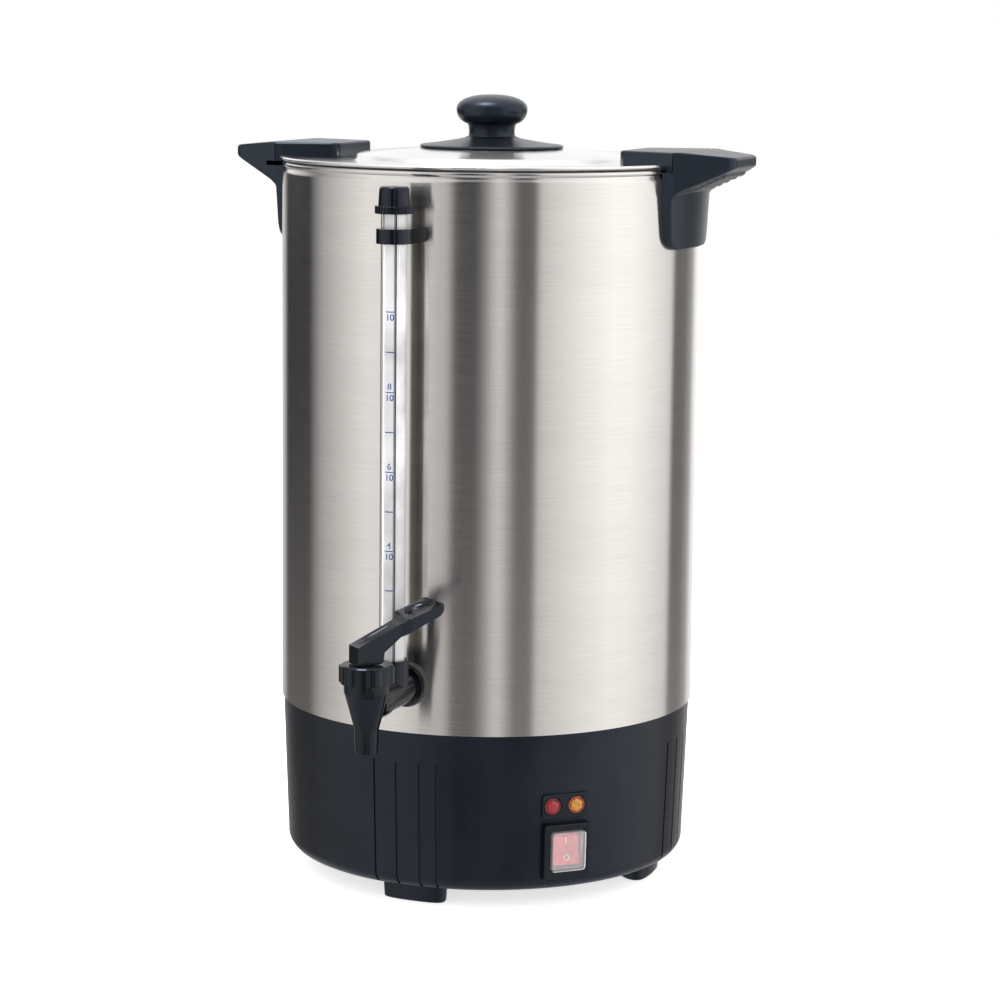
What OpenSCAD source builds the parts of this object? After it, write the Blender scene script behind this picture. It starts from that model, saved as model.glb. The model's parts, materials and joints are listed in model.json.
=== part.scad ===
// Electric stainless steel brew kettle with a twist-lock lid, a sight gauge and a spigot.
// Origin: tank axis, on the plane that the feet stand on. +Z up, spigot toward -Y, handles along X.
// Azimuths are counted from the front (-Y) toward +X.

/* [Tank] */
// Outside diameter of the steel tank
shell_d = 280; // [270:1:290]
// Height of the steel wall from the base to the rim
shell_h = 362.3; // [340:0.1:400]
// Sheet thickness of the tank
shell_t = 0.8; // [0.6:0.1:1]
// Height of the tank floor above the lower edge of the wall
floor_rise = 13; // [12:1:16]

/* [Base] */
// Height of the plastic base housing
base_h = 105.5; // [100:0.5:115]
// Wall thickness of the base housing
base_t = 2.5; // [2:0.1:3]
// Height of the feet below the housing
foot_h = 12.5; // [10:0.5:15]
// Tangential width of a foot
foot_w = 45; // [36:1:50]
// Azimuth of the switch and the lamps
panel_az = 44; // [38:1:52]

/* [Lid] */
// Radius of the seam between the lid blocks and the handles
seam_r = 146.6; // [145.5:0.1:148]
// Half width of a handle at the seam
handle_hw = 41; // [36:0.5:44]
// Overall reach of a handle from the tank axis
handle_reach = 178; // [170:1:185]
// Radius of the mushroom knob
knob_r = 23.7; // [20:0.1:28]

/* [Gauge] */
// Outside radius of the gauge tube
tube_r = 8.2; // [7:0.1:9]
// Distance from the tank axis to the tube axis
tube_off = 164.4; // [160:0.1:170]
// Height of the top of the tube cap above the base
gauge_top = 353; // [300:1:355]

/* [Spigot] */
// Height of the spigot inlet above the base
inlet_rise = 32; // [30:1:40]
// Distance from the tank axis to the faucet axis
faucet_off = 204; // [200:1:212]
// Direction of the lever, from +X toward +Y
lever_dir = 50; // [0:1:52]
// Radius of the spout bore
spout_bore_r = 5.2; // [4:0.1:5.5]

/* [Hidden] */
$fn = 96;
e = 0.01;
gap = 0.05;
shell_r = shell_d / 2;
inner_r = shell_r - shell_t;
joint_z = foot_h + base_h;
rim = joint_z + shell_h;
floor_z = joint_z + floor_rise;
bead_r = 2.15;
inlet_z = joint_z + inlet_rise;
screw_z = rim - 24;
screw_az = 7.5;
clip_z = joint_z + 322;
clip_h = 9.3;
block_r = seam_r - 0.25;
wing_r = seam_r + 0.25;
ledge = -2.6;
panel_lean = 2.1;
panel_off = 136.6;
rocker_pivot = 1.2;
rocker_rest = -8;
panel_z = joint_z - 78.2;
lamp_z = joint_z - 48;
lamp_gap = 8.4;
lamp_face = 1.9;
lamp_x = -1.4;
cover_lift = 0.8;
groove_step = 6.8;
pin_z = joint_z + 64;
pin_rise = 5.6;
seat_z = joint_z + 24;
chamber_r = 8.2;
spring_r = 6;
spring_wire = 0.55;
spring_low = seat_z + 8.8;
spring_high = joint_z + 52.9;
spring_turns = 4;
spring_steps = 16 * spring_turns;
spring_sides = 8;
boss_off = 118;
boss_az = 65;
foot_off = 109;
foot_azs = [-2, 92, 178, 272];
gland_z = 38;

steel = [0.72, 0.70, 0.67];
black = [0.13, 0.14, 0.16];
rubber = [0.30, 0.30, 0.30];
zinc = [0.60, 0.61, 0.63];

// ---- helpers ----

// Points on an arc in degrees
function arc(cx, cy, r, from, to, n = 8) =
    [for (i = [0:n]) let (a = from + (to - from) * i / n) [cx + r * cos(a), cy + r * sin(a)]];

// Quarter of a superellipse from (a, 0) up to (0, b)
function bulge(a, b, p, n = 14) =
    [for (i = [0:n]) let (t = 90 * i / n) [a * pow(cos(t), 2 / p), b * pow(sin(t), 2 / p)]];

// Moves a list of points
function shift(pts, dx, dy) = [for (q = pts) [q[0] + dx, q[1] + dy]];

// Outer outline of the base housing from top to bottom, moved inward by d
function base_side(d) = concat(
    [[shell_r - 1.1 - d, joint_z - 0.6], [shell_r - 2.3 - d, joint_z - 36]],
    arc(126.2, foot_h + 9.4, 9.4 - d, 6, -81, 8));

// Places children, drawn toward the front, at an azimuth
module at_az(az) {
    rotate([0, 0, az]) children();
}

// A cylinder that points toward the front, from distance a to distance b
module radial_rod(r, a, b, z, x = 0) {
    translate([x, -a, z]) rotate([90, 0, 0]) cylinder(r = r, h = b - a);
}

// A ring around the Z axis
module ring(r_out, r_in, z0, z1) {
    translate([0, 0, z0]) difference() {
        cylinder(r = r_out, h = z1 - z0);
        translate([0, 0, -1]) cylinder(r = r_in, h = z1 - z0 + 2);
    }
}

// A block centred on x and y that stands on z0
module slab(x, y, z0, z1) {
    translate([-x / 2, -y / 2, z0]) cube([x, y, z1 - z0]);
}

// A pan head screw along -Z: the underside of its head lies at z = 0
module pan_screw(r, length, head_r, head_h) {
    translate([0, 0, -length]) cylinder(r = r, h = length + e, $fn = 32);
    cylinder(r1 = head_r, r2 = head_r * 0.72, h = head_h, $fn = 32);
}

// ---- tank ----

module tank_sheet() {
    neck_r = shell_r - 2.3;
    wall = [[shell_r, joint_z], [shell_r, rim - 11], [neck_r, rim - 5.5], [neck_r, rim - 2.4]];
    inside = [for (i = [3:-1:0]) [wall[i][0] - shell_t, wall[i][1]]];
    polygon(concat(wall, inside));
    translate([shell_r - bead_r, rim - 0.5 - bead_r]) circle(r = bead_r, $fn = 32);
    translate([0, floor_z]) square([inner_r + 0.4, 1.2]);
}

module handle_screw_places() {
    for (side = [90, 270], turn = [-screw_az, screw_az]) at_az(side + turn) children();
}

module tank() {
    color(steel) difference() {
        rotate_extrude($fn = 128) tank_sheet();
        radial_rod(9.8, 120, 150, inlet_z, $fn = 48);
        radial_rod(1.7, 120, 150, clip_z, $fn = 24);
        handle_screw_places() radial_rod(2.7, 120, 150, screw_z, $fn = 24);
    }
}

// ---- handles ----

// Side of the wing, x against height above the rim, with finger ridges underneath
function ridge(i) = let (x = 171 - 4.6 * i, z = -3.6 - 2.13 * i)
    [[x, z], [x - 0.6, z - 1.3], [x - 2.2, z - 2.0], [x - 2.9, z - 1.35]];

wing_side = concat(
    [[138, 10.3], [147.5, 10.3], [166, 8.6]],
    arc(handle_reach - 4.5, 3.4, 4.5, 80, 0, 5),
    arc(handle_reach - 5, 2.0, 5, 0, -63, 5),
    [for (i = [0:4]) each ridge(i)],
    [[147.6, -14.6], [146.2, -17.5], [138, -17.5]]);

// Plan of a handle: slanted sides with round corners at the tip
handle_plan = concat(
    arc(handle_reach - 8, -20.2, 8, -68, 0, 6),
    arc(handle_reach - 8, 20.2, 8, 0, 68, 6),
    [[141, handle_hw], [130, handle_hw], [130, -handle_hw], [141, -handle_hw]]);

// Front view of the leg that is screwed to the tank, y against height above the rim
leg_front = concat(
    [[handle_hw, ledge], [handle_hw, -12]],
    arc(27.5, -41, 12, 0, -90, 6),
    arc(-27.5, -41, 12, -90, -180, 6),
    [[-handle_hw, -12], [-handle_hw, ledge]]);

module leg_ring() {
    rotate([0, 0, -30]) rotate_extrude(angle = 60, $fn = 128)
        polygon([[shell_r + gap, -60], [shell_r + 4.2, -60], [shell_r + 4.6, -50],
            [block_r, -14], [block_r, ledge], [shell_r + gap, ledge]]);
}

// Pocket that the lock lug of the lid block turns into; it is open on one side
module lug_pocket() {
    rotate([0, 0, -8]) rotate_extrude(angle = 32, $fn = 128)
        translate([shell_r - 1, -5.2]) square([14.5, 3.0]);
}

module handle_shape() {
    difference() {
        union() {
            intersection() {
                leg_ring();
                rotate([90, 0, 90]) linear_extrude(200) polygon(leg_front);
            }
            difference() {
                intersection() {
                    rotate([90, 0, 0]) linear_extrude(100, center = true) polygon(wing_side);
                    translate([0, 0, -30]) linear_extrude(60) polygon(handle_plan);
                }
                translate([0, 0, ledge]) cylinder(r = wing_r, h = 30, $fn = 128);
                translate([0, 0, -40]) cylinder(r = shell_r + 1, h = 60, $fn = 128);
            }
        }
        lug_pocket();
        for (turn = [-screw_az, screw_az]) rotate([0, 0, 90 + turn])
            radial_rod(2.55, 130, shell_r + 4.3, screw_z - rim, $fn = 24);
    }
}

module handle_right() {
    color(black) translate([0, 0, rim]) handle_shape();
}

module handle_left() {
    color(black) translate([0, 0, rim]) rotate([0, 0, 180]) handle_shape();
}

module handle_screws() {
    color(zinc) handle_screw_places() translate([0, -(inner_r - 1.3), screw_z])
        rotate([-90, 0, 0]) pan_screw(2.5, 5.2, 4.6, 2.6);
}

module handle_washers() {
    color(rubber) handle_screw_places() difference() {
        radial_rod(6, inner_r - 1.25, inner_r - 0.2, screw_z, $fn = 32);
        radial_rod(2.55, inner_r - 2, inner_r + 1, screw_z, $fn = 24);
    }
}

// ---- base ----

module housing_sheet() {
    outer = base_side(0);
    inner = base_side(base_t);
    polygon(concat(outer, [for (i = [len(inner) - 1:-1:0]) inner[i]]));
    polygon([[shell_r - 4.2, joint_z + 7], [inner_r - 0.3, joint_z + 7],
        [inner_r - 0.3, joint_z - 0.4], [shell_r - 1.6, joint_z - 4], [shell_r - 4.2, joint_z - 4]]);
}

// One shallow groove that follows the outline of the housing
module groove() {
    cut = concat([[145, joint_z - 20.5]], [[shell_r - 2.6, joint_z - 20.5], [shell_r - 3.2, joint_z - 36]],
        arc(126.2, foot_h + 9.4, 8.5, 6, -62, 6), [[145, foot_h + 1]]);
    rotate([90, 0, -90]) linear_extrude(1.8, center = true) polygon(cut);
}

module groove_groups() {
    for (side = [0, 180], i = [-1.5, -0.5, 0.5, 1.2]) at_az(side + i * groove_step) groove();
    for (side = [90, 270], i = [-1:1:1]) at_az(side + i * groove_step) groove();
}

// Places children in the plane of the control panel, with -Y out of the wall
module on_panel(z) {
    at_az(panel_az) translate([0, -panel_off, z]) rotate([panel_lean, 0, 0]) children();
}

module base_housing() {
    color(black) difference() {
        union() {
            rotate_extrude($fn = 128) housing_sheet();
            for (az = [boss_az:90:360]) at_az(az) translate([0, -boss_off, 0]) {
                translate([0, 0, foot_h + 3.2]) cylinder(r = 5, h = 26, $fn = 32);
                translate([-1.2, -16.4, foot_h + 10]) cube([2.4, 12.8, 18]);
            }
        }
        groove_groups();
        for (az = [boss_az:90:360]) at_az(az) translate([0, -boss_off, foot_h])
            cylinder(r = 1.8, h = 22, $fn = 24);
        on_panel(panel_z) translate([-14.2, -10, -15.2]) cube([28.4, 20, 30.4]);
        for (x = lamp_places) on_panel(lamp_z) radial_rod(4.7, -12, 12, 0, x, $fn = 32);
        at_az(180) radial_rod(8.1, 120, 150, gland_z, $fn = 48);
    }
}

module base_cover() {
    color(black) difference() {
        translate([0, 0, foot_h + 0.4]) cylinder(r = 127, h = 2.6);
        translate([0, 0, foot_h - 1]) cylinder(r = 3.3, h = 6, $fn = 32);
        for (az = [boss_az:90:360]) at_az(az) translate([0, -boss_off, foot_h - 1])
            cylinder(r = 2.2, h = 6, $fn = 24);
        for (az = foot_azs) at_az(az) translate([0, -foot_off, foot_h - 1]) cylinder(r = 2.2, h = 6, $fn = 24);
        for (az = [15:15:345], far = [0, 1]) if (az % 45 != 0) at_az(az) vent_slot(55 + 24 * far);
    }
}

// A slot through the bottom cover, with round ends
module vent_slot(off) {
    translate([0, -off, foot_h - 1]) {
        translate([-1.5, -14, 0]) cube([3, 14, 6]);
        for (y = [-14, 0]) translate([0, y, 0]) cylinder(r = 1.5, h = 6, $fn = 24);
    }
}

module cover_screws() {
    color(zinc) for (az = [boss_az:90:360]) at_az(az) translate([0, -boss_off, foot_h + 0.35])
        mirror([0, 0, 1]) pan_screw(1.75, 18, 4, 2);
}

// One foot: a block with a round, sloping inner side, screwed to the cover
module foot(az) {
    color(black) at_az(az) difference() {
        intersection() {
            translate([0, -80, 0]) rotate([90, 0, 0]) linear_extrude(50)
                polygon([[0.7 - foot_w / 2, 0], [foot_w / 2 - 0.7, 0], [foot_w / 2, foot_h + 0.35],
                    [-foot_w / 2, foot_h + 0.35]]);
            translate([0, -122.5, 0]) cylinder(r1 = 21.6, r2 = 27, h = foot_h + 0.35);
            rotate_extrude($fn = 128) polygon([[80, 0], [121.4, 0], [122.6, 1.2], [123.6, 13], [80, 13]]);
        }
        translate([0, -foot_off, -1]) cylinder(r = 5, h = 6, $fn = 32);
        translate([0, -foot_off, 0]) cylinder(r = 2.2, h = 20, $fn = 24);
    }
}

module foot_front() { foot(foot_azs[0]); }
module foot_right() { foot(foot_azs[1]); }
module foot_back() { foot(foot_azs[2]); }
module foot_left() { foot(foot_azs[3]); }

module foot_screws() {
    color(zinc) for (az = foot_azs) at_az(az) translate([0, -foot_off, 4.95])
        mirror([0, 0, 1]) pan_screw(2.1, 16, 4.2, 2.4);
}

module tie_rod() {
    color(zinc) translate([0, 0, foot_h - 6]) cylinder(r = 3, h = floor_z - foot_h, $fn = 32);
}

module tie_nut() {
    color(zinc) difference() {
        union() {
            translate([0, 0, foot_h - 5]) cylinder(r = 5.8, h = 5, $fn = 6);
            translate([0, 0, foot_h - 0.8]) cylinder(r = 9, h = 1.1, $fn = 32);
        }
        translate([0, 0, 0]) cylinder(r = 3 + gap, h = 20, $fn = 32);
    }
}

// ---- heater and wiring inside the base ----

module heater_plate() {
    color([0.75, 0.76, 0.78]) difference() {
        translate([0, 0, floor_z - 7]) cylinder(r = 72, h = 6.9);
        translate([0, 0, floor_z - 8]) cylinder(r = 3 + gap, h = 3.2, $fn = 32);
    }
}

module heating_element() {
    color([0.45, 0.42, 0.40]) {
        rotate([0, 0, 100]) rotate_extrude(angle = 340) translate([56, floor_z - 10.5])
            circle(r = 3.3, $fn = 32);
        for (a = [100, 80]) rotate([0, 0, a]) translate([56, 0, floor_z - 34])
            cylinder(r = 3.3, h = 23.5, $fn = 32);
    }
}

// A snap disc control with two tabs, held flat against the heater plate
module snap_disc(x) {
    translate([x, 0, 0]) {
        translate([0, 0, floor_z - 18]) cylinder(r = 8, h = 10.9, $fn = 48);
        for (s = [-1, 1]) translate([s * 4, 0, 0]) slab(0.8, 5, floor_z - 26, floor_z - 17.9);
    }
}

module thermostat() {
    color([0.85, 0.83, 0.78]) snap_disc(24);
}

module dry_boil_cutout() {
    color([0.25, 0.24, 0.23]) snap_disc(-24);
}

module terminal_block() {
    color([0.9, 0.9, 0.86]) translate([0, 72, 0]) difference() {
        slab(36, 20, foot_h + 3.2, foot_h + 19);
        for (x = [-12, 0, 12]) {
            translate([x, 0, foot_h + 8]) cylinder(r = 2.6, h = 20, $fn = 24);
            translate([x, 11, foot_h + 11]) rotate([90, 0, 0]) cylinder(r = 1.6, h = 22, $fn = 24);
        }
    }
}

// One insulated lead: an arc at constant height with a sleeved riser at its far end
module lead(r, from, sweep, z0, z1) {
    rotate([0, 0, from]) rotate_extrude(angle = sweep) translate([r, z0]) circle(r = 1.4, $fn = 24);
    rotate([0, 0, from + sweep]) translate([r, 0, z0 - 2]) cylinder(r = 1.9, h = z1 - z0 + 2, $fn = 24);
}

module wiring() {
    color([0.35, 0.20, 0.16]) lead(88, -44, 110, 44, 60);
    color([0.18, 0.25, 0.45]) lead(94, -44, 106, 50, 66);
}

module cord_gland() {
    color(black) at_az(180) difference() {
        union() {
            radial_rod(8, 122, 138, gland_z, $fn = 48);
            radial_rod(11.5, 136.6, 139.4, gland_z, $fn = 48);
            radial_rod(7.4, 139, 146, gland_z, $fn = 48);
        }
        radial_rod(3.6, 110, 160, gland_z, $fn = 48);
    }
}

module gland_nut() {
    color(black) at_az(180) difference() {
        radial_rod(12, 125.5, 130.5, gland_z, $fn = 6);
        radial_rod(8 + gap, 120, 140, gland_z, $fn = 48);
    }
}

// ---- lamps and switch ----

// Sideways places of the two lamps
lamp_places = [lamp_x - lamp_gap, lamp_x + lamp_gap];

// A rectangle with round corners, drawn in the panel plane and standing out along -Y
module pad(w, h, r, y0, y1) {
    corners = concat(arc(w / 2 - r, h / 2 - r, r, 0, 90, 4), arc(r - w / 2, h / 2 - r, r, 90, 180, 4),
        arc(r - w / 2, r - h / 2, r, 180, 270, 4), arc(w / 2 - r, r - h / 2, r, 270, 360, 4));
    translate([0, -y0, 0]) rotate([90, 0, 0]) linear_extrude(y1 - y0) polygon(corners);
}

// The housing wall as a solid cylinder in the panel plane, used to seat the trim on it
module wall_behind(r) {
    translate([0, panel_off, -40]) cylinder(r = r, h = 80, $fn = 360);
}

module lamp_panel() {
    color(black) on_panel(lamp_z) difference() {
        translate([lamp_x / 2, 0, 0]) pad(33, 16.5, 3, -1.6, lamp_face);
        for (x = lamp_places) radial_rod(6.1, -5, 5, 0, x, $fn = 32);
        wall_behind(panel_off + 0.75);
    }
}

module lamp(x) {
    on_panel(lamp_z) {
        radial_rod(4.6, -14, 0.85, 0, x, $fn = 32);
        for (s = [-1.6, 1.6]) translate([x + s - 0.25, 14, -1.5]) cube([0.5, 6, 3]);
    }
}

// A round jewel lens with a stepped edge, sunk in the lamp panel
module lens(x) {
    on_panel(lamp_z) {
        radial_rod(5.75, 0.9, lamp_face, 0, x, $fn = 48);
        translate([x, -lamp_face, 0]) rotate([90, 0, 0]) cylinder(r1 = 5.1, r2 = 3, h = 1.2, $fn = 48);
    }
}

module power_lamp() { color([0.5, 0.2, 0.2]) lamp(lamp_places[0]); }
module ready_lamp() { color([0.5, 0.4, 0.2]) lamp(lamp_places[1]); }
module power_lens() { color([0.8, 0.1, 0.1]) lens(lamp_places[0]); }
module ready_lens() { color([1.0, 0.6, 0.1]) lens(lamp_places[1]); }

module switch_frame() {
    color(black) on_panel(panel_z) difference() {
        pad(33, 37.5, 2, -1.6, 4);
        pad(28.1, 30.1, 1, -5, 0.6);
        translate([0, 0, cover_lift]) pad(24.4, 27.2, 2, -5, 5);
        wall_behind(panel_off - 0.35);
    }
}

module switch_body() {
    color([0.1, 0.1, 0.1]) on_panel(panel_z) difference() {
        union() {
            pad(28, 30, 1, -24, 0.55);
            for (x = [-6, 6], z = [-8, 8]) translate([x - 0.4, 24, z - 2.4]) cube([0.8, 7, 4.8]);
        }
        pad(23, 23, 1, -10, 1);
        translate([0, rocker_pivot, 0]) rotate([0, 90, 0])
            cylinder(r = 1.55, h = 25.4, center = true, $fn = 24);
    }
}

// The rocker rests with its upper half pressed in and pivots on the switch axis
module switch_rocker() {
    color([0.75, 0.08, 0.08]) on_panel(panel_z) translate([0, rocker_pivot, 0])
        rotate([rocker_rest, 0, 0]) {
        translate([-9, -4.2, -9.5]) cube([18, 5.5, 19]);
        rotate([0, 90, 0]) cylinder(r = 1.5, h = 25, center = true, $fn = 24);
    }
}

// Clear splash cover: a thin box with an edge that is clamped by the frame
module switch_cover() {
    color([0.95, 0.8, 0.8, 0.4]) on_panel(panel_z) difference() {
        translate([0, 0, cover_lift]) pad(24, 26.8, 2, 0.6, 7.2);
        translate([0, 0, cover_lift]) pad(21.6, 24.4, 1.5, 0, 6.2);
    }
}

// ---- sight gauge ----

module gauge_tube() {
    color([0.9, 0.92, 0.95, 0.4]) translate([0, -tube_off, 0])
        ring(tube_r, tube_r - 1.5, inlet_z + 10, joint_z + gauge_top - 8);
}

module gauge_cap() {
    top = joint_z + gauge_top;
    color(black) translate([0, -tube_off, 0]) difference() {
        union() {
            translate([0, 0, top - 17]) cylinder(r = 12.25, h = 6, $fn = 64);
            translate([0, 0, top - 11.1]) cylinder(r1 = 9.9, r2 = 9.3, h = 10.1, $fn = 64);
            translate([0, 0, top - 1]) cylinder(r1 = 9.3, r2 = 8.3, h = 1, $fn = 64);
        }
        translate([0, 0, top - 18]) cylinder(r = tube_r + gap, h = 10.1, $fn = 48);
        translate([0, 0, top - 10]) cylinder(r = 1.2, h = 20, $fn = 24);
        for (a = [0:15:345]) rotate([0, 0, a]) translate([12.5, 0, top - 18])
            cylinder(r = 0.7, h = 8, $fn = 16);
    }
}

module gauge_clip() {
    color(black) translate([0, 0, clip_z - clip_h / 2]) difference() {
        linear_extrude(clip_h) difference() {
            union() {
                translate([0, -tube_off]) circle(r = 11.2, $fn = 64);
                translate([-11.2, -tube_off]) square([22.4, 28]);
            }
            translate([0, -tube_off]) circle(r = tube_r + gap, $fn = 48);
        }
        translate([0, 0, -1]) cylinder(r = shell_r + gap, h = clip_h + 2, $fn = 128);
        radial_rod(1.55, 130, 152, clip_h / 2, $fn = 24);
    }
}

module gauge_clip_screw() {
    color(zinc) translate([0, -(inner_r - 0.2), clip_z]) rotate([-90, 0, 0])
        pan_screw(1.5, 11.5, 3.4, 2);
}

module gauge_seal() {
    color(rubber) translate([0, -tube_off, 0]) ring(9.2, tube_r + gap, inlet_z + 12, inlet_z + 20);
}

// ---- spigot ----

module spigot_shank() {
    color(black) difference() {
        union() {
            radial_rod(9.5, 125, 146, inlet_z, $fn = 48);
            radial_rod(13.4, 143.1, 146.6, inlet_z, $fn = 64);
            radial_rod(11, 146.5, 186, inlet_z, $fn = 64);
            radial_rod(9, 185.9, 191, inlet_z, $fn = 64);
            translate([0, -tube_off, inlet_z]) cylinder(r = 10.6, h = 21.5, $fn = 64);
        }
        radial_rod(6, 120, 200, inlet_z, $fn = 48);
        translate([0, -tube_off, inlet_z]) cylinder(r = 6, h = 30, $fn = 48);
        translate([0, -tube_off, inlet_z + 9.9]) cylinder(r = 9.3, h = 30, $fn = 48);
    }
}

// A sealing ring shaped to the tank wall
module wall_ring(r_out, from, to) {
    difference() {
        radial_rod(r_out, from, to, inlet_z, $fn = 64);
        radial_rod(9.5 + gap, 100, 160, inlet_z, $fn = 48);
        children();
    }
}

module shank_seal() {
    color(rubber) wall_ring(14.3, 136, 143)
        translate([0, 0, inlet_z - 30]) cylinder(r = shell_r + gap, h = 60, $fn = 128);
}

module shank_inner_seal() {
    color(rubber) intersection() {
        wall_ring(13.5, 135.2, 141);
        translate([0, 0, inlet_z - 30]) cylinder(r = inner_r - gap, h = 60, $fn = 128);
    }
}

module shank_nut() {
    color(black) difference() {
        radial_rod(15, 128.5, 135.1, inlet_z, $fn = 6);
        radial_rod(9.5 + gap, 100, 160, inlet_z, $fn = 48);
    }
}

// Outside of the faucet: straight spout, cone, shoulder and threaded neck
module faucet_outside() {
    rotate_extrude() polygon([[0, 1], [6.8, 1], [7.2, 1.6], [7.9, 17], [13.8, 38.6], [14.4, 40.4],
        [14.4, 45.4], [12.9, 45.6], [12.9, 52], [0, 52]]);
}

module faucet_body() {
    color(black) difference() {
        union() {
            translate([0, -faucet_off, joint_z]) faucet_outside();
            radial_rod(12, 186.1, faucet_off - 4, inlet_z, $fn = 64);
        }
        translate([0, -faucet_off, joint_z]) cylinder(r = spout_bore_r, h = 30, $fn = 48);
        translate([0, -faucet_off, seat_z]) cylinder(r = chamber_r, h = 60, $fn = 48);
        radial_rod(6, 180, faucet_off, inlet_z, $fn = 48);
        radial_rod(9 + gap, 180, 192.7, inlet_z, $fn = 64);
        translate([0, -faucet_off, 0]) rotate([0, 0, 28]) translate([-3.6, -20, joint_z + 38.6])
            cube([7.2, 6.9, 4]);
    }
}

module faucet_seal() {
    color(rubber) difference() {
        radial_rod(8.9, 191.2, 192.6, inlet_z, $fn = 48);
        radial_rod(6, 180, faucet_off, inlet_z, $fn = 48);
    }
}

// Screwed collar with six grip lobes and a roof that guides the stem
module bonnet() {
    color(black) translate([0, -faucet_off, joint_z]) difference() {
        union() {
            rotate_extrude() polygon([[0, 45.8], [16.3, 45.8], [16.3, 57.1], [15.5, 57.9], [0, 57.9]]);
            for (a = [0:60:300]) rotate([0, 0, a + 12]) translate([11.6, 0, 46.4])
                cylinder(r = 6.2, h = 10.2, $fn = 32);
        }
        translate([0, 0, 45]) cylinder(r = 12.9 + gap, h = 8.6, $fn = 48);
        translate([0, 0, 50]) cylinder(r = 2.55, h = 20, $fn = 32);
    }
}

module valve_stem() {
    color(zinc) translate([0, -faucet_off, 0]) difference() {
        translate([0, 0, seat_z + 3]) cylinder(r = 2.5, h = pin_z - seat_z, $fn = 32);
        translate([0, 0, pin_z]) rotate([90, 0, lever_dir])
            cylinder(r = 1.2 + gap, h = 20, center = true, $fn = 24);
    }
}

module seat_cup() {
    color([0.85, 0.85, 0.82]) translate([0, -faucet_off, seat_z]) difference() {
        rotate_extrude() polygon([[0, 0.1], [6.2, 0.1], [7.6, 1.5], [7.6, 7.4], [6.8, 8.2], [0, 8.2]]);
        translate([0, 0, 2.9]) cylinder(r = 2.5 + gap, h = 10, $fn = 32);
    }
}

// Compression spring between the cup and the bonnet roof
function coil_point(i, k) =
    let (a = 360 * spring_turns * i / spring_steps, b = 360 * k / spring_sides,
        r = spring_r + spring_wire * cos(b),
        z = spring_low + (spring_high - spring_low) * i / spring_steps + spring_wire * sin(b))
    [r * cos(a), r * sin(a), z];

module valve_spring() {
    pts = [for (i = [0:spring_steps], k = [0:spring_sides - 1]) coil_point(i, k)];
    sides = [for (i = [0:spring_steps - 1], k = [0:spring_sides - 1])
        let (a = i * spring_sides, b = (i + 1) * spring_sides, n = (k + 1) % spring_sides)
        [a + k, b + k, b + n, a + n]];
    last = spring_steps * spring_sides;
    ends = [[for (k = [0:spring_sides - 1]) k], [for (k = [spring_sides - 1:-1:0]) last + k]];
    color(zinc) translate([0, -faucet_off, 0])
        polyhedron(points = pts, faces = concat(sides, ends), convexity = 8);
}

// Side of the lever, distance along it against height above the pin
lever_side = concat(
    [[-9.2, 5.8], [-9.2, -pin_rise]],
    arc(6.3, 2.5 - pin_rise, 2.5, -90, 0, 6),
    [[9.2, 1.5], [26, 14.4], [45.2, 23.0], [48.8, 27.2], [47.4, 30.4], [24, 22.2], [21.8, 19.4]]);

// Plan of the lever: a slim bar that widens into a thumb paddle
lever_plan = concat(
    [[-9.2, -6.6], [20.5, -6.6], [25, -12.4]], arc(45.6, -9.6, 3.4, -80, -8, 4),
    arc(45.6, 9.6, 3.4, 8, 80, 4), [[25, 12.4], [20.5, 6.6], [-9.2, 6.6]]);

module lever() {
    color(black) translate([0, -faucet_off, pin_z]) rotate([0, 0, lever_dir]) difference() {
        intersection() {
            rotate([90, 0, 0]) linear_extrude(60, center = true) polygon(lever_side);
            translate([0, 0, -20]) linear_extrude(80) polygon(lever_plan);
        }
        slab(14, 5.6, -10, 4.7);
        rotate([90, 0, 0]) cylinder(r = 1.2 + gap, h = 40, center = true, $fn = 24);
    }
}

module lever_pin() {
    color(zinc) translate([0, -faucet_off, pin_z]) rotate([90, 0, lever_dir])
        cylinder(r = 1.2, h = 12.6, center = true, $fn = 24);
}

// ---- lid ----

module lid_seal() {
    color(rubber) ring(shell_r - 0.6, shell_r - 4.2, rim - 0.45, rim + 0.35);
}

lid_top = [[139.6, 1.15], [134, 1.15], [95, 0.4], [93.2, 0.9], [90.6, 4.0], [88.6, 4.6], [50, 8.4],
    [12, 9.4], [3, 9.4]];

module lid() {
    sheet = concat(lid_top, [for (i = [len(lid_top) - 1:-1:0]) [lid_top[i][0], lid_top[i][1] - 0.7]]);
    color(steel) translate([0, 0, rim]) difference() {
        rotate_extrude($fn = 128) {
            polygon(sheet);
            translate([shell_r + 0.5, 1.3]) circle(r = 1.1, $fn = 24);
            translate([134.2, -7.5]) square([0.8, 8.4]);
        }
        for (side = [90, 270], x = [-16, 16]) at_az(side) translate([x, -118, -10])
            cylinder(r = 2.1, h = 20, $fn = 24);
    }
}

module knob_plate() {
    color(black) translate([0, 0, rim]) rotate_extrude()
        polygon([[3, 9.45], [12, 9.45], [48, 8.55], [48, 10.3], [46.6, 10.9], [20, 15.0], [16.6, 16.2],
            [3, 16.2]]);
}

module knob() {
    top = 44;
    wide = 34;
    neck = 15.7;
    profile = concat([[0, 16.3], [neck, 16.3], [neck, 24.4]],
        [for (q = bulge(wide - 24.6, knob_r - neck, 2, 8)) [neck + q[1], wide - q[0]]],
        shift(bulge(knob_r, top - wide, 2.3), 0, wide));
    color(black) translate([0, 0, rim]) difference() {
        rotate_extrude() polygon(profile);
        translate([0, 0, 15]) cylinder(r = 2.5 + gap, h = 16, $fn = 32);
    }
}

module knob_screw() {
    color(zinc) translate([0, 0, rim + 7.7]) mirror([0, 0, 1]) pan_screw(2.5, 21, 4.8, 2.8);
}

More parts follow.
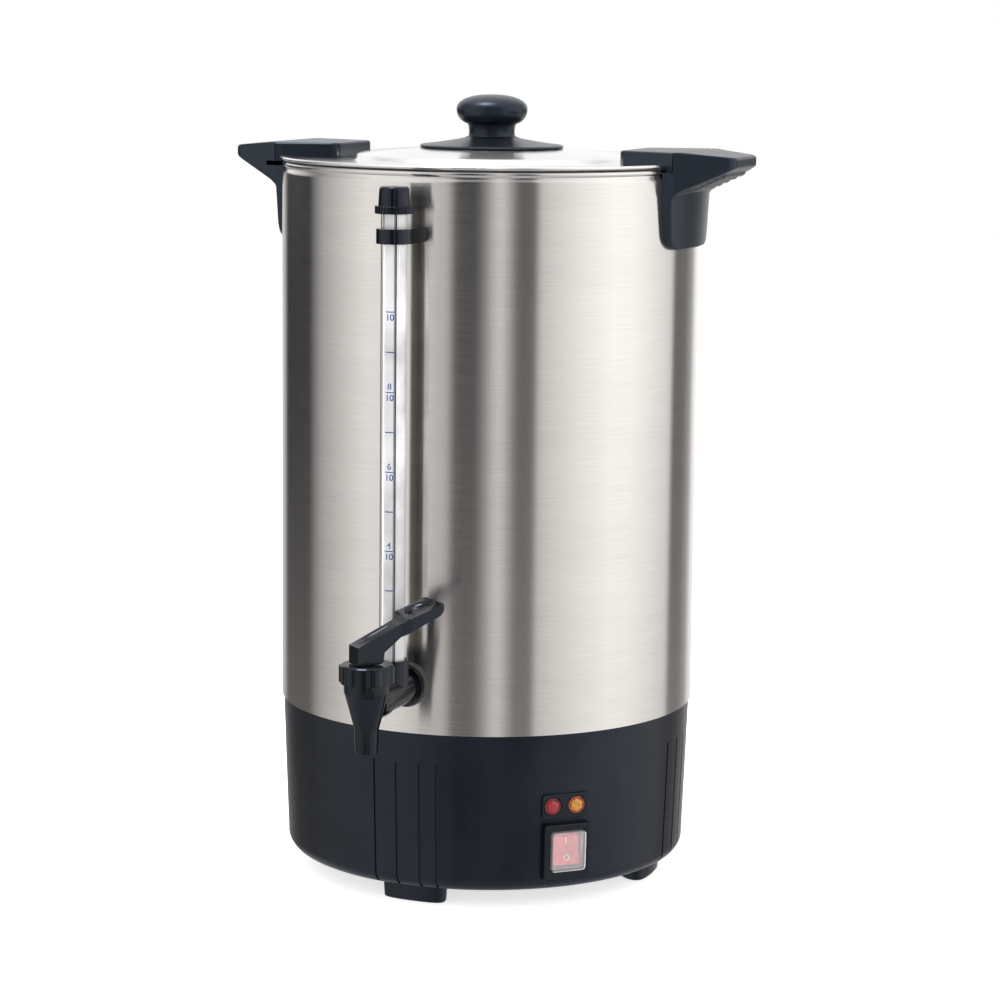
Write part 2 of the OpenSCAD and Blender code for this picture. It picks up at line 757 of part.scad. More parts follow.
module knob_washer() {
    color(zinc) ring(9, 2.55, rim + 7.75, rim + 8.6);
}

// Plan of a lid block: a wedge with round inner corners; its outer end is the seam arc
block_plan = concat(
    [[135, 1.3 - handle_hw]], arc(106.2, -23.6, 6.5, -107, -180, 5), arc(106.2, 23.6, 6.5, 180, 107, 5),
    [[135, handle_hw - 1.3], [141, handle_hw], [152, handle_hw], [152, -handle_hw], [141, -handle_hw]]);

module block_shape() {
    difference() {
        intersection() {
            translate([0, 0, -2.3]) linear_extrude(12.6) polygon(block_plan);
            translate([0, 0, -5]) cylinder(r = block_r, h = 30, $fn = 128);
        }
        rotate_extrude($fn = 128) polygon([[0, -20], [142, -20], [142, 2.6], [139.2, 2.6], [138.6, 1.2],
            [134, 1.2], [95, 0.45], [0, 0.45]]);
        for (y = [-16, 16]) translate([118, y, -1]) cylinder(r = 1.65, h = 8.5, $fn = 24);
    }
}

module lid_block_right() {
    color(black) translate([0, 0, rim]) block_shape();
}

module lid_block_left() {
    color(black) translate([0, 0, rim]) rotate([0, 0, 180]) block_shape();
}

module block_screws() {
    color(zinc) for (side = [90, 270], x = [-16, 16]) at_az(side) translate([x, -118, rim + 0.05])
        mirror([0, 0, 1]) pan_screw(1.6, 7, 3.6, 2);
}

tank();
handle_right();
handle_left();
handle_screws();
handle_washers();
base_housing();
base_cover();
cover_screws();
foot_front();
foot_right();
foot_back();
foot_left();
foot_screws();
tie_rod();
tie_nut();
heater_plate();
heating_element();
thermostat();
dry_boil_cutout();
terminal_block();
wiring();
cord_gland();
gland_nut();
lamp_panel();
power_lamp();
ready_lamp();
power_lens();
ready_lens();
switch_frame();
switch_body();
switch_rocker();
switch_cover();
gauge_tube();
gauge_cap();
gauge_clip();
gauge_clip_screw();
gauge_seal();
spigot_shank();
shank_seal();
shank_inner_seal();
shank_nut();
faucet_body();
faucet_seal();
bonnet();
valve_spring();
valve_stem();
seat_cup();
lever();
lever_pin();
lid_seal();
lid();
knob_plate();
knob();
knob_screw();
knob_washer();
lid_block_right();
lid_block_left();
block_screws();
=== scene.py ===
"""Looks of the brew kettle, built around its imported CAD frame.

Lengths in this script are millimetres and are turned into metres by MM. Heights on the lid and the
handles are counted from the rim of the tank. Azimuths are counted from the front (-Y) toward +X.
"""

import json
import math

import bmesh
import bpy
from mathutils import Matrix, Vector


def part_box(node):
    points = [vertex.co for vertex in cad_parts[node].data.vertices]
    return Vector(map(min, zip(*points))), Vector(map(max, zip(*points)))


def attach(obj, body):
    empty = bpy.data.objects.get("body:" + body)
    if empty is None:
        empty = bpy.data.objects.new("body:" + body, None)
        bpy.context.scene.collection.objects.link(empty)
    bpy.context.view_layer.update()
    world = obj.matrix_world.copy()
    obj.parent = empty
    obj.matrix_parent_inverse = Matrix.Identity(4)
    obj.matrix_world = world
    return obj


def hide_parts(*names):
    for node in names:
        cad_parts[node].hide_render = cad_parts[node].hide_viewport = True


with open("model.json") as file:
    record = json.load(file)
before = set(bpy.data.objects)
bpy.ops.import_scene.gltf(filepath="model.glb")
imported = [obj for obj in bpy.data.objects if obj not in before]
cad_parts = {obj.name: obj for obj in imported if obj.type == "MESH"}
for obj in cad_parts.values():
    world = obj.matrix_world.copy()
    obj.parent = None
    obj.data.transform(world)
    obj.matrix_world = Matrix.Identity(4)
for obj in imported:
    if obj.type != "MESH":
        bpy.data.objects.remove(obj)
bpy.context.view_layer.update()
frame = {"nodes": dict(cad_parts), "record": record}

MM = 0.001

# ---- places taken from the CAD frame, in millimetres ----


def low(node):
    """Lowest corner of a CAD node in millimetres."""
    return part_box(node)[0] / MM


def high(node):
    """Highest corner of a CAD node in millimetres."""
    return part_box(node)[1] / MM


def middle(node):
    """Centre of a CAD node's box in millimetres."""
    return (low(node) + high(node)) / 2


SHELL_R = 140.0
RIM = high("tank").z + 0.5
WALL_LOW = low("tank").z
FLOOR_Z = middle("heater_plate").z + 3.55
BLOCK_R = 146.35
WING_R = 146.85
HANDLE_HW = high("handle_right").y
HANDLE_TIP = high("handle_right").x
LEG_LOW = low("handle_right").z - RIM
LEDGE = -2.6
FAUCET_Y = middle("bonnet").y
PIN_Z = middle("lever_pin").z
LEVER_TURN = math.radians(50)
TUBE_Y = middle("gauge_tube").y
TUBE_R = 8.2
TUBE_BORE = 5.4
FILM = 0.03
PRINT = 0.05
MARK_SHIFT = 0.9
CAP_TOP = high("gauge_cap").z
INLET_Z = middle("shank_nut").z
PANEL_AZ = math.radians(44)
PANEL_OFF = 136.6
PANEL_LEAN = math.radians(2.1)
LAMP_Z = middle("power_lens").z
LAMP_GAP = 8.4
LAMP_X = -1.4
LAMP_FACE = 1.9
SWITCH_Z = middle("switch_frame").z
COVER_LIFT = 0.8
ROCKER_PIVOT = 1.2
ROCKER_REST = math.radians(-8)

# ---- the view: distances in metres, angles in degrees ----

CAMERA_AZ = 21.5
CAMERA_FAR = 2.04898
CAMERA_HIGH = 0.57434
CAMERA_PAN = 0.2233
CAMERA_DIP = 8.989
CAMERA_ROLL = 0.5984
CAMERA_LENS = 109.57

# ---- shader helpers ----


def add(tree, kind, inputs=None, **settings):
    """Adds a node. Inputs hold plain values or output sockets to link."""
    node = tree.nodes.new(kind)
    for key, value in settings.items():
        setattr(node, key, value)
    for key, value in (inputs or {}).items():
        if isinstance(value, bpy.types.NodeSocket):
            tree.links.new(value, node.inputs[key])
        else:
            node.inputs[key].default_value = value
    return node


def ramp(tree, factor, stops):
    """A colour ramp with (position, colour) stops."""
    node = add(tree, "ShaderNodeValToRGB", {"Fac": factor})
    elements = node.color_ramp.elements
    while len(elements) > 1:
        elements.remove(elements[0])
    elements[0].position = stops[0][0]
    elements[0].color = (*stops[0][1], 1)
    for position, colour in stops[1:]:
        elements.new(position).color = (*colour, 1)
    return node.outputs["Color"]


def spread(tree, factor, lowest, highest):
    """Maps a 0 to 1 value to a range."""
    node = add(tree, "ShaderNodeMapRange", {"Value": factor, "To Min": lowest, "To Max": highest})
    return node.outputs["Result"]


def calc(tree, operation, a, b=0.0):
    """One math node."""
    return add(tree, "ShaderNodeMath", {0: a, 1: b}, operation=operation).outputs[0]


def principled(name, **sockets):
    """A new material with one Principled shader. Underscores in socket names stand for spaces."""
    material = bpy.data.materials.new(name)
    material.use_nodes = True
    shader = material.node_tree.nodes["Principled BSDF"]
    for key, value in sockets.items():
        shader.inputs[key.replace("_", " ")].default_value = value
    return material, material.node_tree, shader


def place(tree):
    """Object coordinates in metres, which are the frame's own."""
    return add(tree, "ShaderNodeTexCoord").outputs["Object"]


def noise(tree, vector, scale, detail=2.0):
    """Value of a noise texture."""
    node = add(tree, "ShaderNodeTexNoise", {"Vector": vector, "Scale": scale, "Detail": detail})
    return node.outputs["Fac"]


def bump(tree, shader, height, depth):
    """Adds relief of a depth in metres to a shader."""
    node = add(tree, "ShaderNodeBump", {"Height": height, "Strength": 1.0, "Distance": depth})
    tree.links.new(node.outputs["Normal"], shader.inputs["Normal"])


def around(tree, along, across):
    """Cylindrical coordinates about the kettle's axis: slow round it, fast up and outward."""
    split = add(tree, "ShaderNodeSeparateXYZ", {"Vector": place(tree)})
    x, y, z = split.outputs
    turn = calc(tree, "ARCTAN2", x, y)
    square = calc(tree, "ADD", calc(tree, "MULTIPLY", x, x), calc(tree, "MULTIPLY", y, y))
    radius = calc(tree, "SQRT", square)
    joined = add(tree, "ShaderNodeCombineXYZ", {
        "X": calc(tree, "MULTIPLY", turn, along),
        "Y": calc(tree, "MULTIPLY", radius, across),
        "Z": calc(tree, "MULTIPLY", z, across)})
    return joined.outputs["Vector"]


# ---- materials ----


def brushed_steel(name, tint, rough, lines, stretch):
    """Sheet steel brushed round the axis, so that highlights stretch across the brushing."""
    material, tree, shader = principled(name, Metallic=1.0, Anisotropic=stretch, Anisotropic_Rotation=0.25)
    fine = noise(tree, around(tree, 5.0, lines), 1.0, 3.0)
    broad = noise(tree, around(tree, 1.2, lines * 0.04), 1.0, 2.0)
    both = calc(tree, "ADD", calc(tree, "MULTIPLY", fine, 0.7), calc(tree, "MULTIPLY", broad, 0.3))
    dark = tuple(c * 0.93 for c in tint)
    light = tuple(min(1.0, c * 1.05) for c in tint)
    tree.links.new(ramp(tree, both, [(0.3, dark), (0.7, light)]), shader.inputs["Base Color"])
    tree.links.new(spread(tree, fine, rough - 0.03, rough + 0.03), shader.inputs["Roughness"])
    tangent = add(tree, "ShaderNodeTangent", direction_type="RADIAL", axis="Z")
    tree.links.new(tangent.outputs["Tangent"], shader.inputs["Tangent"])
    bump(tree, shader, fine, 0.0000015)
    return material


def moulded(name, tint, rough, grain, depth, **sockets):
    """Moulded plastic with a fine spark texture and faint cloudy wear."""
    material, tree, shader = principled(name, **sockets)
    where = place(tree)
    cloud = noise(tree, where, 28.0, 3.0)
    dark = tuple(c * 0.78 for c in tint)
    light = tuple(c * 1.25 for c in tint)
    tree.links.new(ramp(tree, cloud, [(0.35, dark), (0.68, light)]), shader.inputs["Base Color"])
    speck = noise(tree, where, grain, 2.0)
    worn = calc(tree, "ADD", calc(tree, "MULTIPLY", speck, 0.5), calc(tree, "MULTIPLY", cloud, 0.5))
    tree.links.new(spread(tree, worn, rough * 0.8, rough * 1.25), shader.inputs["Roughness"])
    bump(tree, shader, speck, depth)
    return material


def metal(name, tint, rough, grain):
    """Plain machined or cast metal with fine mottling."""
    material, tree, shader = principled(name, Metallic=1.0)
    speck = noise(tree, place(tree), grain, 4.0)
    dark = tuple(c * 0.75 for c in tint)
    tree.links.new(ramp(tree, speck, [(0.35, dark), (0.65, tint)]), shader.inputs["Base Color"])
    tree.links.new(spread(tree, speck, rough - 0.08, rough + 0.1), shader.inputs["Roughness"])
    bump(tree, shader, speck, 0.00001)
    return material


def clear(name, tint, rough, cloud_scale, index, weight=1.0):
    """Clear plastic with faint haze. A weight below one makes it milky."""
    material, tree, shader = principled(name, Transmission_Weight=weight, IOR=index)
    haze = noise(tree, place(tree), cloud_scale, 2.0)
    dark = tuple(c * 0.93 for c in tint)
    tree.links.new(ramp(tree, haze, [(0.35, dark), (0.65, tint)]), shader.inputs["Base Color"])
    tree.links.new(spread(tree, haze, rough, rough + 0.06), shader.inputs["Roughness"])
    return material


def jewel(name, tint, painted_glow):
    """Coloured lens plastic with fine random darker mottling, and a faint painted glow in its own colour.
    """
    material, tree, shader = principled(
        name, Roughness=0.08, IOR=1.5, Coat_Weight=0.6, Coat_Roughness=0.04, Transmission_Weight=0.25)
    cloud = noise(tree, place(tree), 420.0, 2.0)
    dark = tuple(c * 0.6 for c in tint)
    colour = ramp(tree, cloud, [(0.3, dark), (0.6, tint)])
    tree.links.new(colour, shader.inputs["Base Color"])
    # painted glow: the lens colour is also given out as a faint emission
    tree.links.new(colour, shader.inputs["Emission Color"])
    shader.inputs["Emission Strength"].default_value = painted_glow
    return material


MATERIALS = {
    "brushed_steel": brushed_steel("brushed_steel", (0.80, 0.775, 0.745), 0.19, 1500.0, 0.9),
    "polished_steel": brushed_steel("polished_steel", (0.90, 0.895, 0.88), 0.20, 900.0, 0.6),
    "black_phenolic": moulded(
        "black_phenolic", (0.0060, 0.0085, 0.0125), 0.30, 1800.0, 0.0000015,
        Specular_Tint=(0.64, 0.80, 1.0, 1)),
    "base_plastic": moulded(
        "base_plastic", (0.0040, 0.0050, 0.0072), 0.28, 1500.0, 0.0000012,
        Specular_IOR_Level=0.45, Specular_Tint=(0.68, 0.79, 1.0, 1)),
    "gloss_black": moulded(
        "gloss_black", (0.0028, 0.0033, 0.0045), 0.12, 700.0, 0.0000008,
        Specular_IOR_Level=0.45, Specular_Tint=(0.72, 0.81, 1.0, 1)),
    "silicone": moulded("silicone", (0.055, 0.055, 0.055), 0.6, 2200.0, 0.00001),
    "clear_silicone": moulded(
        "clear_silicone", (0.70, 0.70, 0.66), 0.45, 900.0, 0.00001, Transmission_Weight=0.35),
    "fastener_steel": metal("fastener_steel", (0.66, 0.66, 0.67), 0.3, 900.0),
    "aluminium": metal("aluminium", (0.76, 0.77, 0.78), 0.45, 500.0),
    "element_sheath": metal("element_sheath", (0.40, 0.36, 0.32), 0.5, 300.0),
    "ceramic": moulded("ceramic", (0.80, 0.78, 0.72), 0.5, 1200.0, 0.00001),
    "dark_phenolic": moulded("dark_phenolic", (0.08, 0.065, 0.055), 0.5, 1200.0, 0.00001),
    "nylon": moulded("nylon", (0.82, 0.82, 0.77), 0.45, 1200.0, 0.00001),
    "wire_insulation": moulded("wire_insulation", (0.28, 0.10, 0.06), 0.45, 900.0, 0.00001),
    "gauge_clear": clear("gauge_clear", (0.98, 0.98, 0.97), 0.02, 60.0, 1.49),
    "cover_clear": clear("cover_clear", (0.98, 0.96, 0.98), 0.05, 200.0, 1.42, weight=0.88),
    # painted glow: each lens material also shines faintly in its own colour (the last number)
    "red_lens": jewel("red_lens", (0.30, 0.010, 0.014), 0.03),
    # painted shade: a darker copy of the red lens colour for the lens rim
    "red_lens_shaded": jewel("red_lens_shaded", (0.12, 0.004, 0.007), 0.02),
    "amber_lens": jewel("amber_lens", (0.50, 0.23, 0.025), 0.03),
    # painted shade: a darker, redder copy of the amber lens colour for the lens rim
    "amber_lens_shaded": jewel("amber_lens_shaded", (0.28, 0.045, 0.010), 0.02),
    # painted glow: the emission makes the rocker's red plastic shine faintly in its own colour
    "red_plastic": moulded(
        "red_plastic", (0.62, 0.035, 0.03), 0.3, 900.0, 0.000006,
        Emission_Color=(0.7, 0.05, 0.04, 1), Emission_Strength=0.15),
    "print_blue": moulded("print_blue", (0.006, 0.06, 0.20), 0.5, 2000.0, 0.000002),
    "scale_film": moulded(
        "scale_film", (0.60, 0.60, 0.61), 0.3, 1500.0, 0.000002, Transmission_Weight=0.25),
    # painted reflection: grey-brown standing in for the warm wall seen through the tube
    "painted_reflection_band": moulded("painted_reflection_band", (0.20, 0.185, 0.165), 0.3, 1500.0, 0.000002),
    # painted shade: grey laid on the tube as the dark line a clear tube shows beside its highlight
    "painted_shade_grey": moulded("painted_shade_grey", (0.22, 0.22, 0.26), 0.25, 1500.0, 0.000002),
    # painted highlight: white laid on the tube where a clear tube shows a bright highlight
    "painted_highlight_white": moulded("painted_highlight_white", (0.74, 0.74, 0.75), 0.2, 1500.0, 0.000001),
    "print_white": moulded("print_white", (0.85, 0.80, 0.80), 0.5, 2000.0, 0.000002),
}

# ---- mesh helpers ----


def soften(points, radius, steps=3):
    """Rounds the corners of a closed 2-D outline, by at most 45% of each edge."""
    count = len(points)
    rounded = []
    for i, corner in enumerate(points):
        here = Vector(corner)
        back = Vector(points[i - 1]) - here
        ahead = Vector(points[(i + 1) % count]) - here
        cut = min(radius, back.length * 0.45, ahead.length * 0.45)
        start = here + back.normalized() * cut
        end = here + ahead.normalized() * cut
        for k in range(steps + 1):
            t = k / steps
            point = start * (1 - t) ** 2 + here * 2 * t * (1 - t) + end * t ** 2
            rounded.append((point.x, point.y))
    return rounded


def arc(cx, cy, r, start, end, steps=8):
    """Points on an arc in degrees."""
    angles = [math.radians(start + (end - start) * i / steps) for i in range(steps + 1)]
    return [(cx + r * math.cos(a), cy + r * math.sin(a)) for a in angles]


def inset(outline, distance):
    """Moves a closed, counter-clockwise outline inward."""
    moved = []
    count = len(outline)
    for i in range(count):
        here = Vector(outline[i])
        before = (here - Vector(outline[i - 1])).normalized()
        after = (Vector(outline[(i + 1) % count]) - here).normalized()
        side = Vector((-before.y - after.y, before.x + after.x))
        side = side.normalized() if side.length > 1e-6 else Vector((-after.y, after.x))
        stretch = 1 / max(0.5, side.dot(Vector((-after.y, after.x))))
        moved.append(tuple(here + side * distance * stretch))
    return moved


def bridge(bm, rings, loop=False):
    """Joins rings of equal length, or single vertices, with faces."""
    pairs = list(zip(rings, rings[1:])) + ([(rings[-1], rings[0])] if loop else [])
    for a, b in pairs:
        count = max(len(a), len(b))
        for i in range(count):
            j = (i + 1) % count
            corners = [a[i % len(a)], a[j % len(a)], b[j % len(b)], b[i % len(b)]]
            unique = list(dict.fromkeys(corners))
            if len(unique) > 2:
                bm.faces.new(unique)


def lathe(profile, steps=160, centre=(0.0, 0.0), lift=0.0):
    """Turns a profile of (radius, height) round an upright line. Points on the line close it."""
    bm = bmesh.new()
    rings = []
    for radius, height in profile:
        if radius < 1e-6:
            rings.append([bm.verts.new((centre[0], centre[1], height + lift))])
            continue
        ring = []
        for k in range(steps):
            a = 2 * math.pi * k / steps
            x = centre[0] + radius * math.cos(a)
            y = centre[1] + radius * math.sin(a)
            ring.append(bm.verts.new((x, y, height + lift)))
        rings.append(ring)
    bridge(bm, rings, loop=profile[0][0] > 1e-6)
    return bm


def stack(outline, levels, matrix=None, underside=None):
    """A solid from one outline at several (inset, height) levels, capped at both ends.
    underside(x, y) gives the height of the first level where it isn't flat."""
    bm = bmesh.new()
    rings = []
    for number, (distance, height) in enumerate(levels):
        flat = inset(outline, distance) if distance else outline
        uneven = underside and number == 0
        rings.append([bm.verts.new((x, y, underside(x, y) if uneven else height)) for x, y in flat])
    bridge(bm, rings)
    bm.faces.new(reversed(rings[0]))
    bm.faces.new(rings[-1])
    if matrix:
        bm.transform(matrix)
    return bm


def from_cad(node):
    """A CAD node's shape in millimetres, with its flat faces joined up again."""
    bm = bmesh.new()
    bm.from_mesh(frame["nodes"][node].data)
    bmesh.ops.scale(bm, vec=(1 / MM, 1 / MM, 1 / MM), verts=bm.verts)
    bmesh.ops.remove_doubles(bm, verts=bm.verts, dist=0.002)
    bmesh.ops.dissolve_limit(bm, angle_limit=math.radians(0.8), verts=bm.verts, edges=bm.edges)
    return bm


def break_edges(bm, width, segments=2):
    """Rounds every edge that is sharper than 28 degrees."""
    bm.normal_update()
    limit = math.radians(28)
    edges = [e for e in bm.edges if e.is_manifold and e.calc_face_angle(0) > limit]
    bmesh.ops.bevel(
        bm, geom=edges, offset=width, offset_type="OFFSET", segments=segments, profile=0.5, affect="EDGES",
        clamp_overlap=True)
    bmesh.ops.remove_doubles(bm, verts=bm.verts, dist=0.002)
    return bm


def carve(bm, cutter):
    """Takes one solid away from another."""
    for shape in (bm, cutter):
        bmesh.ops.recalc_face_normals(shape, faces=shape.faces)
    solid = piece_object("solid", bm)
    tool = piece_object("tool", cutter)
    change = solid.modifiers.new("cut", "BOOLEAN")
    change.operation = "DIFFERENCE"
    change.solver = "EXACT"
    change.object = tool
    result = bmesh.new()
    bpy.context.view_layer.update()
    shape = solid.evaluated_get(bpy.context.evaluated_depsgraph_get())
    result.from_mesh(shape.to_mesh())
    shape.to_mesh_clear()
    for leftover in (solid, tool):
        mesh = leftover.data
        bpy.data.objects.remove(leftover)
        bpy.data.meshes.remove(mesh)
    return result


def piece_object(name, bm):
    """An object from a bmesh, unscaled."""
    mesh = bpy.data.meshes.new(name)
    bm.to_mesh(mesh)
    bm.free()
    item = bpy.data.objects.new(name, mesh)
    bpy.context.scene.collection.objects.link(item)
    return item


def piece(name, bm, body, slot, nodes=(), material=None, sharp=38):
    """Finishes a piece: shading, a material (its slot's, unless one is given), body, and the CAD nodes it
    stands for, which are hidden.
    """
    bmesh.ops.recalc_face_normals(bm, faces=bm.faces)
    bm.normal_update()
    for face in bm.faces:
        face.smooth = True
    for edge in bm.edges:
        edge.smooth = edge.is_manifold and edge.calc_face_angle(0) < math.radians(sharp)
    bmesh.ops.scale(bm, vec=(MM, MM, MM), verts=bm.verts)
    item = piece_object(name, bm)
    item.data.materials.append(MATERIALS[material or slot])
    even = item.modifiers.new("even_normals", "WEIGHTED_NORMAL")
    even.keep_sharp = True
    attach(item, body)
    if nodes:
        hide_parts(*nodes)
    return item


def copy_turned(bm, degrees):
    """A copy turned about the kettle's axis."""
    twin = bm.copy()
    twin.transform(Matrix.Rotation(math.radians(degrees), 4, "Z"))
    return twin


# ---- steel parts ----


def tank():
    """The tank: wall, drawn-in neck, rolled bead, and a floor that meets the wall in a round corner."""
    bead_r = 2.15
    sheet = 0.8
    neck_deep = 0.9
    neck_tall = 3.5
    corner_r = 5
    outside = [(SHELL_R, WALL_LOW), (SHELL_R, RIM - 8.4)]
    neck = [(SHELL_R - neck_deep * s * s * (3 - 2 * s), RIM - 8.1 + neck_tall * s)
            for s in (0, 0.2, 0.4, 0.6, 0.8, 1)]
    bead = arc(SHELL_R - bead_r, RIM - 0.5 - bead_r, bead_r, -56, 205, 20)
    inner_neck = [(r - sheet, z) for r, z in reversed(neck)]
    corner = arc(SHELL_R - sheet - corner_r, FLOOR_Z + 6.2, corner_r, 0, -90, 6)
    top = FLOOR_Z + 1.2
    ridge = FLOOR_Z + 1.8
    ring = [(60, top), (58, ridge), (56, ridge), (54, top), (0, top)]
    under = [(0, FLOOR_Z), (SHELL_R - sheet, FLOOR_Z), (SHELL_R - sheet, WALL_LOW)]
    bm = lathe(outside + neck + bead + inner_neck + corner + ring + under, 200)
    hole = lathe([(0, 120), (9.8, 120), (9.8, 150), (0, 150)], 48)
    hole.transform(Matrix.Translation((0, 0, INLET_Z)) @ Matrix.Rotation(math.radians(90), 4, "X"))
    return piece("tank_sheet", carve(bm, hole), "kettle", "brushed_steel", ["tank"])


def weld_seam():
    """The long weld down the back of the tank, ground almost flush."""
    top = RIM - 19
    outline = soften([(-1.3, WALL_LOW + 8), (1.3, WALL_LOW + 8), (1.3, top), (-1.3, top)], 1.2)
    bm = stack(outline, [(0, 0), (0.25, 0.1), (0.8, 0.16)])
    turn = Matrix.Rotation(math.pi, 4, "Z") @ Matrix.Translation((0, -SHELL_R + 0.01, 0))
    bm.transform(turn @ Matrix.Rotation(math.radians(90), 4, "X"))
    return piece("weld_seam", bm, "kettle", "brushed_steel")


def lid():
    """The pressed lid: flat margin, raised step, shallow dome, rolled edge and a lip inside the seal."""
    sheet = 0.7
    top = [(0, 9.4), (12, 9.4), (32, 9.0), (50, 8.4), (70, 6.9), (84, 5.3), (88.2, 4.75), (89.8, 4.3),
           (90.8, 3.5), (92.4, 1.5), (93.3, 0.8), (94.6, 0.45), (97, 0.42), (115, 0.78), (134, 1.15),
           (137.5, 1.7)]
    under = [(r, z - sheet) for r, z in reversed(top[:-2])]
    edge = arc(140.5, 1.3, 1.1, 130, -150, 12)
    lip = [(135.4, 0.4), (135.0, 0.1), (135.0, -7.2), (134.6, -7.5), (134.2, -7.2), (134.2, 0.1),
           (133.6, 0.42)]
    bm = lathe(top + edge + lip + under, 200, lift=RIM)
    return piece("lid_sheet", bm, "lid", "polished_steel", ["lid"])


# ---- lid furniture ----


def knob():
    """The mushroom knob with a waisted neck and a soft crown."""
    big = high("knob").x
    neck = 15.7
    crown = 44.0
    waist = [(0, 16.3), (neck + 0.3, 16.3), (neck - 0.3, 17.2), (neck - 0.5, 20), (neck, 23.2)]
    flare = [(neck + (big - neck) * math.sin(a) ** 1.15, 34 - 9.4 * math.cos(a))
             for a in (math.radians(d) for d in range(8, 91, 8))]
    dome = [(big * math.cos(a) ** (2 / 2.3), 34 + (crown - 34) * math.sin(a) ** (2 / 2.3))
            for a in (math.radians(d) for d in range(0, 90, 6))] + [(0, crown)]
    bm = lathe(waist + flare + dome, 96, lift=RIM)
    return piece("knob_grip", bm, "lid", "black_phenolic", ["knob"])


def knob_plate():
    """The dished collar under the knob."""
    top = [(48.0, 9.2), (48.0, 10.1), (47.4, 10.6), (46.4, 10.9), (40, 11.6), (30, 13.1), (22, 14.5),
           (18.6, 15.2), (17.4, 15.9), (16.4, 16.2), (0, 16.2)]
    bm = lathe([(0, 9.45), (12, 9.45), (47.2, 8.6)] + top, 144, lift=RIM)
    return piece("knob_collar", bm, "lid", "black_phenolic", ["knob_plate"])


def block_outline():
    """Plan of a lid block, which ends in the seam arc."""
    half = math.degrees(math.asin(HANDLE_HW / BLOCK_R))
    seam = arc(0, 0, BLOCK_R, -half, half, 20)
    side = [(136.3, HANDLE_HW - 1.0), (136.1, HANDLE_HW - 1.05), (135.0, HANDLE_HW - 1.3), (118, 34.2)]
    far = arc(106.2, 23.6, 6.5, 107, 180, 8)
    return seam + side + far + [(x, -y) for x, y in reversed(far)] + [(x, -y) for x, y in reversed(side)]


def lid_blocks():
    """The two wedge blocks that the lid is turned by."""
    levels = [(0.0, 0.8), (0.0, 8.6), (0.18, 9.3), (0.6, 9.9), (1.2, 10.2), (2.2, 10.3)]

    def underside(x, y):
        return -2.3 if math.hypot(x, y) > 141.9 else 0.8

    bm = stack(block_outline(), levels, Matrix.Translation((0, 0, RIM)), underside)
    # the rounding of the top edge dies away toward the seam with the handle
    for v in bm.verts:
        behind = BLOCK_R - v.co.xy.length
        if 0 < behind < 2.4:
            v.co.xy *= (BLOCK_R - 0.2 * behind) / (BLOCK_R - behind)
    piece("block_left", copy_turned(bm, 180), "lid", "black_phenolic", ["lid_block_left"])
    piece("block_right", bm, "lid", "black_phenolic", ["lid_block_right"])


# ---- handles ----


def wing_reach(y):
    """How far the wing reaches at a distance y from its middle."""
    flat_end = 20.2
    corner_end = 27.62
    corner_r = 8
    side_start = 173.0
    side_end = 141.3
    y = abs(y)
    if y <= flat_end:
        return HANDLE_TIP
    if y <= corner_end:
        return HANDLE_TIP - corner_r + math.sqrt(corner_r ** 2 - (y - flat_end) ** 2)
    return side_start + (side_end - side_start) * (y - corner_end) / (HANDLE_HW - corner_end)


def leg_bottom(y):
    """Height of the lower edge of the leg, with the slope of that edge."""
    flat_end = 27.5
    corner_end = 39.1
    corner_r = 12
    y = abs(y)
    if y <= flat_end:
        return LEG_LOW, 0.0
    if y < corner_end:
        drop = math.sqrt(corner_r ** 2 - (y - flat_end) ** 2)
        return LEG_LOW + corner_r - drop, (y - flat_end) / drop
    steep = 22.0 / (HANDLE_HW - corner_end)
    return LEG_LOW + corner_r - 3.1 + steep * (y - corner_end), steep


def leg_radius(z):
    """Outside radius of the leg at a height."""
    taper_top = -14
    taper_low = -50
    slim_r = 144.6
    if z > taper_top:
        return BLOCK_R
    if z > taper_low:
        return BLOCK_R + (slim_r - BLOCK_R) * (taper_top - z) / (taper_top - taper_low)
    return slim_r - 0.4 * (taper_low - z) / 10


